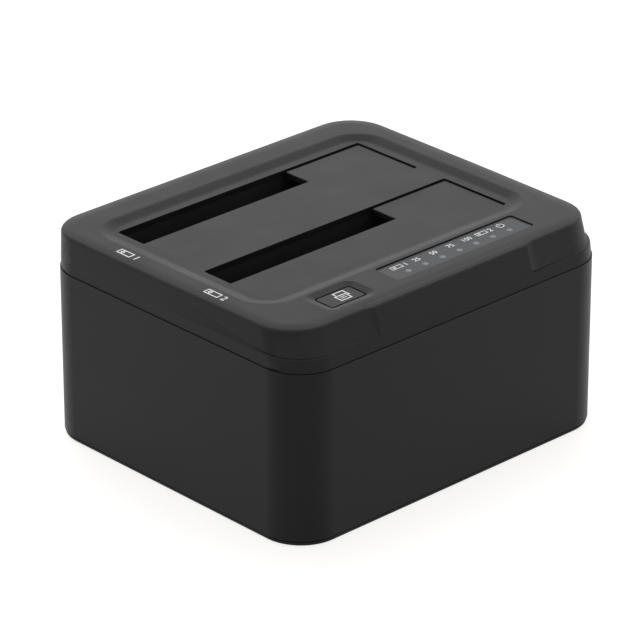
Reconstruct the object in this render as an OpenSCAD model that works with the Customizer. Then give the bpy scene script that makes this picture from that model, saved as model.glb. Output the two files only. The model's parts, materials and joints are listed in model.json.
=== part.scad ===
// Docking station for bare hard drives, with two bays that open upwards.
// X runs along the slots, Y runs from the front to the back, and Z is up.
// The origin is below the middle of the body, on the surface that the feet stand on.

/* [Housing] */
// Width of the lower housing
body_w = 135.4; // [124:0.2:150]
// Depth of the lower housing, front to back
body_d = 118.4; // [110:0.2:130]
// Corner radius of the lower housing, seen from above
body_r = 14.5; // [13:0.5:17]
// Height of the lower housing's walls
housing_h = 56.5; // [54:0.1:70]
// Thickness of the lower housing's walls
wall = 2.3; // [1.9:0.1:2.6]
// Step inwards from the lower housing to the pieces above and below it
seam_step = 0.3; // [0.1:0.05:0.5]
// Height and depth of the groove that shows as the seam below the cover
seam_groove = 0.15; // [0.1:0.05:0.8]
// Radius of the corner columns that take the base screws
column_r = 3.5; // [3:0.1:4]
// Height of the corner columns
column_h = 22; // [18:1:40]
// Thickness of the ribs that tie the columns to the walls
rib_t = 1.4; // [1:0.1:2]

/* [Base] */
// Height of the base plate's visible edge
base_edge = 1.6; // [0.8:0.1:1.7]
// Thickness of the base plate
base_t = 2; // [1.9:0.1:3]
// How far the feet stand below the base plate
foot_out = 0.3; // [0.2:0.1:3]
// Depth of the seats that hold the feet
foot_seat = 0.5; // [0.3:0.1:0.8]
// Radius of a foot
foot_r = 6; // [4:0.5:8]
// Distance of the feet from the sides of the base plate
foot_in = 19; // [17:0.5:24]
// Height of the ribs that centre the base plate in the housing
base_rib_h = 2.5; // [1:0.5:4]

/* [Cover] */
// Height of the flange below the cover's ledge
flange_h = 4.4; // [4:0.1:6]
// Height of the deck above the ledge
deck_h = 8.5; // [7.6:0.1:10]
// Corner radius of the deck at the back
deck_r = 14; // [12:0.5:15]
// Corner radius of the deck at the front
front_r = 14; // [13:0.5:18]
// How far the deck's sides draw in towards the front corners
front_taper = 0.5; // [0.3:0.1:1.6]
// Length of the sides that draws in, from the deck's front edge
taper_l = 55; // [40:1:70]
// Inset of the deck's top edge at the sides
side_inset = 0.5; // [0.4:0.05:1.2]
// Inset of the deck's top edge at the back
back_inset = 0.6; // [0.4:0.05:1.2]
// Inset of the deck's top edge at the front
front_inset = 4.4; // [3.6:0.1:4.8]
// How far the deck's sides and back lean out towards the ledge
side_lean = 0.15; // [0:0.05:0.3]
// How far the deck's front leans out towards the ledge
front_lean = 2.3; // [1.6:0.1:3]
// Width of the ledge at the back corners
ledge_side = 0.05; // [0.05:0.05:0.2]
// Width of the ledge at the front
ledge_front = 1.1; // [0.4:0.05:1.4]
// Rounding of the deck's top edge
deck_soft = 1; // [0.6:0.1:1.8]
// Width of the band inside the top edge that falls away from the deck
crown_w = 4; // [2:0.1:5]
// Fall of the band inside the top edge
crown_h = 0.35; // [0.2:0.05:0.6]
// Rounding of the flange's upper edge
flange_soft = 0.5; // [0.3:0.1:0.8]
// Width of the middle of the deck's front, which stands proud
nose_w = 74; // [50:1:80]
// How far the middle of the deck's front stands proud
nose_out = 1; // [0.5:0.1:1.4]
// Length of the slope at each end of the proud middle
nose_end = 4; // [1:0.1:5]
// Thickness of the deck's walls
deck_wall = 2.2; // [1.8:0.1:2.6]
// Thickness of the deck below the tray
skin = 2; // [1.8:0.1:2.4]
// Depth of the lip that hangs inside the housing
lip_h = 3; // [2:0.5:5]
// Thickness of the lip
lip_t = 1.35; // [1:0.05:1.6]
// Length of a snap hook on the lip
hook_l = 8; // [5:0.5:12]
// Reach of a snap hook into its pocket
hook_out = 0.6; // [0.3:0.1:0.8]

/* [Tray] */
// Margin of the tray's floor at the slots' ends
tray_side = 3.2; // [2.6:0.1:5.5]
// Depth of the sunken tray round the slots
tray_deep = 1.1; // [0.6:0.1:1.5]
// Width of the slope round the tray's floor
tray_slope = 3.6; // [1.5:0.1:4]
// Corner radius of the tray's floor
tray_r = 8; // [5:0.5:10]
// Margin of the tray's floor before the front slot and behind the back slot
tray_margin = 3.2; // [2.6:0.1:4.6]

/* [Bays] */
// Length of a slot, for a drive 101.6 wide
slot_l = 104; // [103:0.2:105]
// Width of a slot, for a drive 26.1 thick
slot_d = 28; // [27.6:0.1:28.4]
// Distance between the two slots, centre to centre
slot_pitch = 40.2; // [39.8:0.1:41]
// Distance of the middle between the slots behind the body's middle
bay_y = 6.1; // [5:0.1:7]
// Corner radius of a slot
slot_r = 0.8; // [0.4:0.1:1.5]
// Length of the open notch for a smaller drive 69.9 wide
notch_l = 71.1; // [70.6:0.1:74]
// Depth of the open notch, for a smaller drive up to 9.5 thick
notch_d = 11.4; // [10.5:0.1:12.5]
// Thickness of a well's walls
well_t = 1.5; // [1.2:0.1:1.7]
// Room between a slot's edge and the well below it
well_gap = 0.6; // [0.4:0.1:0.8]
// Height of the wells' floors above the main board
well_over_board = 3.4; // [3.2:0.1:5]
// Distance of a well's fixing screws from the slot's ends
well_screw_in = 10; // [8:0.5:12]

/* [Flaps] */
// Thickness of a flap
flap_t = 2; // [1.6:0.1:2.4]
// How far a closed flap lies below the tray's floor
flap_sink = 0.4; // [0.2:0.1:0.8]
// Gap round a flap
flap_gap = 0.4; // [0.3:0.05:0.6]
// How far an open flap stands inside the slot's front edge
flap_stand = 0.9; // [0.6:0.1:1]
// Outer radius of the hinge barrels on a flap
barrel_r = 1.8; // [1.6:0.1:2]
// Radius of the steel hinge pins
pin_r = 1; // [0.8:0.05:1.1]
// Running clearance of a flap on its pin
pin_play = 0.05; // [0.02:0.01:0.09]
// Distance of a hinge pin's ends from the slot's ends
pin_in = 4; // [3:0.5:8]
// Outer radius of the lugs that hold a pin
lug_r = 2.3; // [2:0.1:2.5]
// Width of a lug
lug_w = 4; // [3:0.5:6]
// Width of a flap's goose-neck arm
arm_w = 6; // [4:0.5:9]
// Reach of an arm along the underside of its flap
arm_reach = 5.4; // [4:0.1:8]
// Side gap between an arm and its lug
arm_gap = 0.3; // [0.2:0.05:0.6]
// Wire diameter of the flap springs
wire_d = 0.5; // [0.4:0.05:0.6]
// Distance between neighbouring turns of a flap spring
spring_pitch = 1; // [1:0.05:1.4]
// Whole turns of a flap spring
spring_turns = 4; // [3:1:6]

/* [Indicators] */
// Length of the indicator window
window_w = 59.3; // [50:0.1:64]
// Width of the indicator window
window_d = 10.2; // [9:0.1:11]
// Thickness of the indicator window
window_t = 0.6; // [0.4:0.1:1]
// How far the indicator window lies below the deck
window_sink = 0.4; // [0.2:0.05:0.8]
// Middle of the indicator window, to the right of the body's middle
window_x = 15.1; // [8:0.1:18]
// Middle of the indicator window behind the middle of the strip before the tray
window_y = 2.95; // [1:0.05:3.2]
// Corner radius of the indicator window
window_r = 1; // [0.5:0.1:2]
// Number of indicator lights
light_n = 7; // [5:1:8]
// Distance between two lights
light_pitch = 7.37; // [5.8:0.01:7.5]
// Distance of the lights before the window's middle line
light_y = 1.85; // [1:0.05:2.5]
// Radius of a light pipe
light_r = 1.05; // [0.9:0.05:1.4]
// Distance of the indicator board below the deck's underside
board_drop = 6.6; // [6.4:0.1:7.6]

/* [Button] */
// Length of the button's opening
button_w = 14.9; // [12:0.1:16]
// Width of the button's opening
button_d = 8.5; // [7:0.1:9]
// Middle of the button, to the left of the body's middle
button_x = 35; // [34:0.05:40]
// Middle of the button behind the middle of the strip before the tray
button_y = 1.85; // [-0.5:0.05:2.2]
// Corner radius of the button's opening
button_r = 1.2; // [0.8:0.1:2]
// Gap round the button
button_gap = 0.5; // [0.25:0.05:0.6]
// Travel of the button
button_travel = 0.6; // [0.3:0.05:0.8]
// Width of the shallow dish round the button
dish_w = 2.6; // [1:0.1:3]
// Depth of the dish round the button
dish_deep = 0.6; // [0.2:0.05:0.8]

/* [Boards] */
// Thickness of the circuit boards
board_t = 1.6; // [1.2:0.1:2]
// Height of the posts below the main board
post_h = 6.7; // [5:0.1:8]
// Radius of the posts
post_r = 3; // [2.6:0.1:3.2]
// Distance of a drive socket's middle from the slot's left end
socket_x = 34.6; // [33:0.1:36]
// Distance of a drive socket's middle line from the slot's back edge
socket_y = 4.4; // [4.2:0.1:5.4]
// Length of a drive socket
socket_l = 44; // [42:0.5:48]
// Width of a drive socket
socket_d = 7; // [6:0.1:7.6]
// Height of a drive socket above the main board
socket_h = 8.4; // [7.6:0.1:10]
// Width of the ribbon cable between the boards
ribbon_w = 9; // [6:0.5:14]
// Thickness of the ribbon cable
ribbon_t = 0.4; // [0.3:0.05:0.8]

/* [Rear] */
// Distance of the sunken panel's ends from the rounded corners
panel_in = 5.2; // [3:0.1:7]
// Height of the sunken panel
panel_h = 20; // [18:0.5:24]
// Depth of the sunken panel
panel_deep = 2.5; // [2.3:0.1:2.8]
// Place of the data socket across the back
usb_x = 2; // [-4:0.5:8]
// Distance of the power inlet from its end of the panel
jack_in = 17; // [12:0.5:22]
// Distance of the power switch from its end of the panel
switch_in = 12; // [9:0.5:16]
// Room between the connectors' bodies and the back well
connector_gap = 1.1; // [0.6:0.1:2]
// Length of the power rocker
rocker_l = 9.6; // [8:0.1:10]
// Height of the power rocker
rocker_h = 6.8; // [5.5:0.1:7]
// Tilt of the rocker to each side
rocker_tilt = 9; // [6:0.5:10]

/* [Fits] */
// Gap between pieces that are assembled once
fit = 0.15; // [0.1:0.05:0.2]
// Gap between a moving piece and what it passes
swing_gap = 0.4; // [0.3:0.05:0.5]
// Radius of the screws' shanks
screw_r = 1.2; // [1:0.05:1.3]
// Radius of the screws' heads
screw_head_r = 2.5; // [2.2:0.1:2.7]
// Height of the screws' heads
screw_head_h = 1.2; // [1:0.1:1.4]
// Length of the screws' shanks
screw_l = 7; // [6:0.5:8]

/* [Hidden] */
$fn = 48;
hull_fn = 32;
sliver = 0.01;
past = 1;
snug = 0.02;
contact = 0.05;
boss_wall = 2;

shell_black = "#2c2d2f";
flap_black = "#333437";
window_grey = "#5b5f66";
pipe_clear = "#c9ccd0";
steel = "#b9bcc0";
board_green = "#1f5a3c";
chip_black = "#1b1b1c";
gold = "#c9a54a";
can_silver = "#c4c7cb";
rubber_black = "#191919";
ribbon_white = "#d8d8d2";

// Heights from the floor upwards
base_z = foot_out;
base_top = base_z + base_t;
wall_z = base_z + base_edge;
seam_z = wall_z + housing_h;
ledge_z = seam_z + flange_h;
top_z = ledge_z + deck_h;
tray_z = top_z - tray_deep;
under_z = tray_z - skin;
flap_z = tray_z - flap_sink;
main_z = base_top + post_h;
main_top = main_z + board_t;
well_z = main_top + well_over_board;
well_floor = well_z + well_t;
led_board_top = under_z - board_drop;
led_board_z = led_board_top - board_t;

// Plan of the housing and the cover
half_w = body_w / 2;
half_d = body_d / 2;
in_w = half_w - wall;
in_d = half_d - wall;
in_r = body_r - wall;
lip_in = wall + fit + lip_t;
room_w = half_w - lip_in;
room_d = half_d - lip_in;
room_r = body_r - lip_in;
room_z = ledge_z - deck_wall + flange_soft;
deck_front = front_inset - half_d;
deck_back = half_d - back_inset;
deck_side = half_w - side_inset;
deck_room_w = room_w - front_taper;
deck_room_front = deck_front + deck_wall;
deck_room_r = front_r - deck_wall;
column_out = (in_r - column_r - fit) / sqrt(2);
column_x = half_w - body_r + column_out;
column_y = half_d - body_r + column_out;
lip_straight = 2 * (half_w - body_r);
foot_x = half_w - foot_in;
foot_y = half_d - foot_in;

// Slots from back to front, counted 0 and 1
bays = [0, 1];
slot_x = slot_l / 2;
tray_x = slot_x + tray_side;
function slot_front(i) = bay_y + (0.5 - i) * slot_pitch - slot_d / 2;
function slot_back(i) = slot_front(i) + slot_d;
tray_y0 = slot_front(1) - tray_margin;
tray_y1 = slot_back(0) + tray_margin;
strip_mid = (deck_front + tray_y0 - tray_slope) / 2;
well_x = slot_x + well_gap;
function well_front(i) = slot_front(i) + flap_stand - flap_t - swing_gap;
function well_back(i) = slot_back(i) + well_gap;
function well_mid(i) = (well_front(i) + well_back(i)) / 2;
well_screw_x = slot_x - well_screw_in;

// Flap hinges: places are measured from the pivot, along Y and Z
neck_gap = 0.4;
neck_drop = max(flap_t, skin - flap_sink + neck_gap);
hinge_drop = neck_drop + neck_gap + barrel_r;
hinge_back = hinge_drop - flap_stand;
hinge_z = flap_z - hinge_drop;
function hinge_y(i) = slot_front(i) - hinge_back;
under_dz = under_z - hinge_z;
flap_dz = hinge_drop - flap_t;
neck_dz = hinge_drop - neck_drop;
flap_dy = hinge_back + flap_gap;
flap_back_gap = flap_gap + hinge_drop * hinge_drop / (2 * slot_d);
flap_end_dy = hinge_back + slot_d - flap_back_gap;
notch_dy = hinge_back + slot_d - notch_d;
arm_tip_dy = flap_dy + arm_reach;
arm_tip_t = 0.8;
front_wall_z = hinge_z - arm_tip_dy - past;
pin_l = slot_l - 2 * pin_in;
arm_x = pin_l / 2 - lug_w - arm_gap - arm_w;
bore_r = pin_r + pin_play;
lug_bore_r = pin_r + snug;

// Spring round the pin: both legs lift off the lower side of the coil
wire_r = wire_d / 2;
coil_r = under_dz - contact - wire_r;
leg_gap = 1.8;
leg_max = 5;
leg_l = min(leg_max, slot_pitch - slot_d - hinge_back - well_gap - well_t - leg_gap);
leg_deck = [-leg_l, coil_r];
leg_flap = [arm_tip_dy - past, flap_dz - contact - wire_r];
spring_x = -arm_x + past;
wire_sides = 6;
rings_per_turn = 8;
leave_deck = atan2(leg_deck[1], leg_deck[0]) + acos(coil_r / norm(leg_deck));
leave_flap = atan2(leg_flap[1], leg_flap[0]) - acos(coil_r / norm(leg_flap)) + 360;
coil_sweep = leave_flap - leave_deck + 360 * spring_turns;
coil_steps = ceil(coil_sweep * rings_per_turn / 360);
coil_l = spring_pitch * coil_sweep / 360;

// Deck panel
window_mid = strip_mid + window_y;
window_z = top_z - window_sink - window_t;
light_row = window_mid - light_y;
light_hole = light_r + contact;
light_bar_t = 2;
led_w = 3.2;
led_d = 1.6;
led_h = 1;
button_mid = [-button_x, strip_mid + button_y];
button_z = top_z - dish_deep;
button_rim = 1.2;
button_rim_t = 1;
tact_w = 6;
tact_h = 3.5;
plunger_r = 1.75;
plunger_out = 1;
plunger_in = 1.5;
plunger_top = led_board_top + tact_h + plunger_out;
stem_r = 2.2;

// Boards
led_board_side = 3;
led_board_x = deck_room_w - led_board_side;
led_board_front = deck_room_front + past;
led_board_gap = 2.5;
led_board_back = hinge_y(1) - lug_r - led_board_gap;
led_screw_in = 4;
led_screws_x = [led_screw_in - led_board_x, led_board_x - led_screw_in];
led_screw_y = (led_board_front + led_board_back) / 2;
panel_w = 2 * (half_w - body_r - panel_in);
jack_x = panel_w / 2 - jack_in;
switch_x = switch_in - panel_w / 2;
panel_y = half_d - panel_deep;
panel_back = panel_y - wall;
board_x = column_x - column_r - past;
board_ahead = 17;
board_front = well_front(1) - well_t - board_ahead;
board_back = panel_back - fit;
board_screw_x = board_x - post_r - past;
board_screws_y = [board_front + post_r + past, board_back - post_r - past];
socket_mid_x = socket_x - slot_x;
function socket_mid_y(i) = slot_back(i) - socket_y;
ribbon_y = (board_front + well_front(1) - well_t) / 2;
header_h = 4;
header_d = 4;
header_side = 1.5;
ribbon_bow = 2.5;
ribbon_steps = 16;

// Connectors at the back, all on the main board
connector_out = 0.3;
connector_y = panel_y + connector_out;
connector_in = well_back(0) + well_t + connector_gap;
connector_l = connector_y - connector_in;
usb_w = 11;
usb_h = 12.4;
usb_wall = 0.7;
usb_foot_h = 7.7;
usb_top_w = 6.5;
usb_floor = 2;
jack_w = 9.4;
jack_h = 11;
jack_r = 4.2;
jack_bore = 3.15;
jack_floor = 4.1;
jack_bore_l = connector_l - jack_floor;
jack_step = 3;
jack_pin_r = 1.05;
jack_pin_l = jack_bore_l - past;
switch_side = 2;
switch_rim = 1.4;
switch_w = rocker_l + 2 * switch_side;
switch_h = rocker_h + 2 * switch_rim;
rocker_pivot_in = 1.2;
rocker_side = 0.7;
rocker_room = 2.9;
rocker_crown = 1.6;
rocker_flank = 0.2;
rocker_back = 2.2;
rocker_foot = 2;
trunnion_r = 0.9;
trunnion_l = 0.8;
panel_below = 2;
panel_z = main_top - panel_below;

// Rounded rectangle given by its sides and its corner radius
module round_rect(x0, x1, y0, y1, r) {
    translate([x0 + r, y0]) square([x1 - x0 - 2 * r, y1 - y0]);
    translate([x0, y0 + r]) square([x1 - x0, y1 - y0 - 2 * r]);
    for (x = [x0 + r, x1 - r], y = [y0 + r, y1 - r]) {
        translate([x, y]) circle(r);
    }
}

// Upright block on a rounded rectangle that is inset from the housing's outline
module inset_block(inset, z, h) {
    translate([0, 0, z])
        linear_extrude(h)
            round_rect(inset - half_w, half_w - inset, inset - half_d, half_d - inset, body_r - inset);
}

// Thin slice of a rounded rectangle, with its upper face at the height z
module slice(x, y0, y1, r, z) {
    translate([0, 0, z - sliver])
        linear_extrude(sliver)
            round_rect(-x, x, y0, y1, r, $fn = hull_fn);
}

// Rounded slices of an edge: each step goes in and up along a quarter circle
module edge_slices(x, y0, y1, r, z, soft) {
    for (a = [0 : 30 : 90]) {
        in = soft * (1 - cos(a));
        slice(x - in, y0 + in, y1 - in, r - in, z - soft + soft * sin(a));
    }
}

// Block between two corners
module block(low, high) {
    translate(low) cube(high - low);
}

// Round bar along Z with its lower end at the given point
module bar(at, r, h) {
    translate(at) cylinder(r = r, h = h);
}

// Round bar along X with its left end at the given point
module cross_bar(at, r, l) {
    translate(at) rotate([0, 90, 0]) cylinder(r = r, h = l);
}

// Round bar along Y with its front end at the given point
module deep_bar(at, r, l) {
    translate(at) rotate([-90, 0, 0]) cylinder(r = r, h = l);
}

// Outline in Y and Z, drawn out along X from the given place
module along_x(x, l) {
    translate([x, 0, 0]) rotate([90, 0, 90]) linear_extrude(l) children();
}

// Screw whose head stands on the face at z = 0 and whose shank goes up
module screw(l) {
    difference() {
        union() {
            cylinder(r = screw_r, h = l);
            translate([0, 0, -screw_head_h]) cylinder(r = screw_head_r, h = screw_head_h);
        }
        for (turn = [0, 90]) {
            rotate(turn)
                translate([-screw_r, -screw_r / 4, -screw_head_h - past])
                    cube([2 * screw_r, screw_r / 2, past + screw_head_h / 2]);
        }
    }
}

// One of four like pieces, near each corner of the body
module four(x, y) {
    for (sx = [-1, 1], sy = [-1, 1]) translate([sx * x, sy * y, 0]) children();
}

// Snap hooks and their pockets stand on the straight parts of the front and back
module hook_places() {
    for (side = [0, 180], x = [-1, 1]) {
        rotate(side) translate([x * lip_straight / 4, 0, 0]) children();
    }
}

module lower_housing() {
    color(shell_black) difference() {
        union() {
            difference() {
                inset_block(0, wall_z, housing_h);
                inset_block(wall, wall_z - past, housing_h + 2 * past);
            }
            four(column_x, column_y) bar([0, 0, base_top], column_r, column_h);
            for (sx = [0, 1], sy = [0, 1]) {
                mirror([sx, 0, 0]) mirror([0, sy, 0]) column_rib();
            }
            block([-panel_w / 2 - wall, panel_back, panel_z - wall],
                [panel_w / 2 + wall, in_d + wall / 2, panel_z + panel_h + wall]);
        }
        difference() {
            inset_block(-past, seam_z - seam_groove, seam_groove + past);
            inset_block(seam_step + seam_groove, seam_z - seam_groove - past, seam_groove + 3 * past);
        }
        block([-panel_w / 2, panel_y, panel_z], [panel_w / 2, half_d + past, panel_z + panel_h]);
        rear_windows();
        four(column_x, column_y) bar([0, 0, base_top - past], screw_r + snug, column_h - past);
        hook_places() {
            block([-hook_l / 2 - swing_gap, in_d - past, seam_z - lip_h - swing_gap],
                [hook_l / 2 + swing_gap, in_d + hook_out + fit, seam_z - lip_h / 3]);
        }
    }
}

// Rib from the back right column out to the corner of the wall
module column_rib() {
    translate([half_w - body_r, half_d - body_r, base_top + base_rib_h + past])
        rotate(45)
            block([column_out * sqrt(2) + screw_r + past, -rib_t / 2, 0],
                [in_r + wall / 2, rib_t / 2, column_h - base_rib_h - past]);
}

// Openings in the sunken panel for the connectors
module rear_windows() {
    deep = [panel_back - past, panel_y + past];
    block([usb_x - usb_w / 2 - fit, deep[0], main_top - fit],
        [usb_x + usb_w / 2 + fit, deep[1], main_top + usb_h + fit]);
    deep_bar([jack_x, deep[0], main_top + jack_h / 2], jack_r + fit, deep[1] - deep[0]);
    block([switch_x - switch_w / 2 - fit, deep[0], main_top - fit],
        [switch_x + switch_w / 2 + fit, deep[1], main_top + switch_h + fit]);
}

module base_plate() {
    rib_x = half_w - body_r - past;
    rib_y = half_d - body_r - past;
    rib_in_w = in_w - fit;
    rib_in_d = in_d - fit;
    rib_top = base_top + base_rib_h;
    color(shell_black) difference() {
        union() {
            inset_block(seam_step, base_z, base_edge);
            inset_block(wall + fit, base_z, base_t);
            for (s = [0, 1]) {
                mirror([s, 0, 0]) block([rib_in_w - rib_t, -rib_y, base_z], [rib_in_w, rib_y, rib_top]);
                mirror([0, s, 0]) block([-rib_x, rib_in_d - rib_t, base_z], [rib_x, rib_in_d, rib_top]);
            }
            for (x = [-board_screw_x, board_screw_x], y = board_screws_y) {
                bar([x, y, base_z + past], post_r, base_top + post_h - base_z - past);
            }
            well_fixings() bar([0, 0, base_z + past], post_r, well_z - base_z - past);
        }
        four(column_x, column_y) {
            bar([0, 0, base_z - past], screw_r + fit, base_t + 2 * past);
            bar([0, 0, base_z - past], screw_head_r + fit, past + screw_head_h + contact);
        }
        four(foot_x, foot_y) bar([0, 0, base_z - past], foot_r + fit, past + foot_seat);
        for (x = [-board_screw_x, board_screw_x], y = board_screws_y) {
            bar([x, y, base_top], screw_r + snug, post_h + past);
        }
        well_fixings() bar([0, 0, base_top], screw_r + snug, well_z - base_top + past);
    }
}

// Two fixings for each well, on its middle line
module well_fixings(list = bays) {
    for (i = list, x = [-well_screw_x, well_screw_x]) translate([x, well_mid(i), 0]) children();
}

// Deck, flange and nose as one body, before anything is cut from it
module cover_form() {
    side = deck_side + side_lean;
    back = deck_back + side_lean;
    front = deck_front - front_lean;
    foot_z = ledge_z - flange_soft;
    hull() {
        slice(half_w - seam_step, seam_step - half_d, half_d - seam_step, body_r - seam_step,
            seam_z + sliver);
        edge_slices(side + ledge_side, front - ledge_front, back + ledge_side, deck_r, ledge_z,
            flange_soft);
    }
    hull() {
        deck_slice(side, front, back, 0, foot_z);
        for (step = deck_edge) deck_slice(deck_side, deck_front, deck_back, step[0], top_z - step[1]);
    }
    hull() {
        nose_slice(front, min(nose_out, ledge_front - contact), foot_z);
        for (step = deck_edge) nose_slice(deck_front + step[0], nose_out, top_z - step[1]);
    }
}

// Section of the deck's top edge: how far each step lies inside the edge and below the top
deck_edge = concat(
    [for (a = [0 : 30 : 60]) [deck_soft * (1 - cos(a)), crown_h + deck_soft * (1 - sin(a))]],
    [for (t = [0 : 1 / 3 : 1]) [deck_soft + crown_w * t, crown_h * (1 - t) * (1 - t)]]);

// Thin slice of the deck's plan, whose sides draw in towards the front corners
module deck_slice(x, y0, y1, in, z) {
    translate([0, 0, z - sliver]) linear_extrude(sliver) for (s = [-1, 1]) {
        for (y = [y1 - deck_r, deck_front + taper_l]) {
            translate([s * (x - deck_r), y]) circle(deck_r - in, $fn = hull_fn);
        }
        translate([s * (x - front_taper - front_r), y0 + front_r]) circle(front_r - in, $fn = hull_fn);
    }
}

// Thin slice of the proud middle of the deck's front, with a slope at each end
module nose_slice(face, proud, z) {
    x = nose_w / 2;
    block([-x, face + contact, z - sliver], [x, deck_room_front, z]);
    block([nose_end - x, face - proud, z - sliver], [x - nose_end, deck_room_front, z]);
}

// Room inside the flange and below the deck, whose front wall follows the lean outside
module cover_room() {
    straight = deck_room_w - deck_room_r;
    translate([0, 0, seam_z - past])
        linear_extrude(room_z - seam_z + past)
            round_rect(-room_w, room_w, -room_d, room_d, room_r);
    deck_room(0, seam_z, under_z - seam_z);
    along_x(-straight, 2 * straight)
        polygon([[-room_d, room_z - past], [-room_d, room_z], [deck_room_front, under_z],
            [deck_room_front + past, under_z], [deck_room_front + past, room_z - past]]);
}

// Upright block on the plan of the room below the deck, inset by a gap
module deck_room(inset, z, h) {
    x = deck_room_w - inset;
    translate([0, 0, z])
        linear_extrude(h)
            round_rect(-x, x, deck_room_front + inset, room_d - inset, deck_room_r - inset);
}

// Lip that hangs inside the housing, with snap hooks at the front and the back
module cover_lip() {
    difference() {
        inset_block(wall + fit, seam_z - lip_h, lip_h + past);
        inset_block(lip_in, seam_z - lip_h - past, lip_h + 3 * past);
    }
    hook_places() {
        translate([-hook_l / 2, in_d - fit, seam_z - lip_h])
            rotate([90, 0, 90])
                linear_extrude(hook_l)
                    polygon([[-lip_t / 2, 0], [0, 0], [fit + hook_out, lip_h / 2], [-lip_t / 2, lip_h / 2]]);
    }
}

// Lugs below the deck that hold one hinge pin
module cover_lugs(i) {
    for (x = [-pin_l / 2, -lug_w / 2, pin_l / 2 - lug_w]) {
        cross_bar([x, hinge_y(i), hinge_z], lug_r, lug_w);
        block([x, hinge_y(i) - lug_r, hinge_z], [x + lug_w, hinge_y(i) + lug_r, under_z + skin / 2]);
    }
}

module top_cover() {
    boss_r = screw_r + boss_wall;
    boss_bore = screw_r + snug;
    color(shell_black) difference() {
        union() {
            difference() {
                cover_form();
                cover_room();
            }
            cover_lip();
            for (i = bays) cover_lugs(i);
            for (x = led_screws_x) {
                bar([x, led_screw_y, led_board_top], boss_r, board_drop + skin / 2);
            }
        }
        hull() {
            slice(tray_x, tray_y0, tray_y1, tray_r, tray_z + sliver);
            slice(tray_x + tray_slope, tray_y0 - tray_slope, tray_y1 + tray_slope, tray_r + tray_slope,
                top_z + sliver);
        }
        for (i = bays) {
            translate([0, 0, under_z - past])
                linear_extrude(skin + 2 * past)
                    round_rect(-slot_x, slot_x, slot_front(i), slot_back(i), slot_r);
            cross_bar([-pin_l / 2 - past, hinge_y(i), hinge_z], lug_bore_r, pin_l + 2 * past);
        }
        for (x = led_screws_x) {
            bar([x, led_screw_y, led_board_top - past], boss_bore, past + board_drop);
        }
        panel_cuts();
    }
}

// Cuts in the deck before the tray, for the indicator window and the button
module panel_cuts() {
    translate([0, 0, window_z]) linear_extrude(window_t + window_sink + past) window_plan(fit);
    for (i = [0 : light_n - 1]) {
        bar([light_x(i), light_row, under_z - past], light_hole, top_z);
    }
    translate([button_mid[0], button_mid[1], 0]) {
        translate([0, 0, under_z - past])
            linear_extrude(top_z - under_z + 2 * past)
                round_rect(-button_w / 2, button_w / 2, -button_d / 2, button_d / 2, button_r);
        hull() {
            dish_slice(0, top_z - dish_deep + sliver);
            dish_slice(dish_w, top_z + sliver);
        }
    }
}

// Thin slice of the dish round the button
module dish_slice(out, z) {
    x = button_w / 2 + out;
    y = button_d / 2 + out;
    slice(x, -y, y, button_r + out, z);
}

function light_x(i) = window_x + (i - (light_n - 1) / 2) * light_pitch;

// Plan of the indicator window, or of its seat with a gap round it
module window_plan(gap) {
    x = window_w / 2 + gap;
    y = window_d / 2 + gap;
    translate([window_x, window_mid]) round_rect(-x, x, -y, y, window_r + gap);
}

module led_window() {
    color(window_grey) difference() {
        translate([0, 0, window_z]) linear_extrude(window_t) window_plan(0);
        for (i = [0 : light_n - 1]) {
            bar([light_x(i), light_row, window_z - past], light_hole, window_t + 2 * past);
        }
    }
}

// One clear moulding: a bar below the deck with a column through it for each light
module light_pipes() {
    low = led_board_top + led_h + contact;
    color(pipe_clear) {
        block([light_x(0) - led_w, light_row - led_d, under_z - light_bar_t],
            [light_x(light_n - 1) + led_w, light_row + led_d, under_z]);
        for (i = [0 : light_n - 1]) {
            bar([light_x(i), light_row, low], light_r, window_z + window_t - low);
        }
    }
}

module clone_button() {
    x = button_w / 2 - button_gap;
    y = button_d / 2 - button_gap;
    rim_top = under_z - contact;
    color(flap_black) translate([button_mid[0], button_mid[1], 0]) {
        translate([0, 0, rim_top - button_rim_t])
            linear_extrude(button_z - rim_top + button_rim_t)
                round_rect(-x, x, -y, y, button_r - button_gap);
        block([-x - button_rim, -y - button_rim, rim_top - button_rim_t],
            [x + button_rim, y + button_rim, rim_top]);
        bar([0, 0, plunger_top], stem_r, rim_top - plunger_top);
    }
}

module tact_plunger() {
    low = led_board_top + tact_h - plunger_in;
    color(chip_black) bar([button_mid[0], button_mid[1], low], plunger_r, plunger_top - low);
}

module tact_switch() {
    color(can_silver) translate([button_mid[0], button_mid[1], led_board_top]) difference() {
        block([-tact_w / 2, -tact_w / 2, 0], [tact_w / 2, tact_w / 2, tact_h]);
        bar([0, 0, tact_h - plunger_in - button_travel - contact], plunger_r + pin_play, tact_h);
    }
}

module indicator_board() {
    color(board_green) difference() {
        intersection() {
            deck_room(past, led_board_z, board_t);
            block([-led_board_x, deck_front, led_board_z - past],
                [led_board_x, led_board_back, led_board_top + past]);
        }
        for (x = led_screws_x) {
            bar([x, led_screw_y, led_board_z - past], screw_r + fit, board_t + 2 * past);
        }
    }
}

module indicator_leds() {
    color(can_silver) for (i = [0 : light_n - 1]) {
        translate([light_x(i), light_row, led_board_top])
            block([-led_w / 2, -led_d / 2, 0], [led_w / 2, led_d / 2, led_h]);
    }
}

module indicator_screws() {
    color(steel) for (x = led_screws_x) {
        translate([x, led_screw_y, led_board_z]) screw(board_t + board_drop - past);
    }
}

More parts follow.
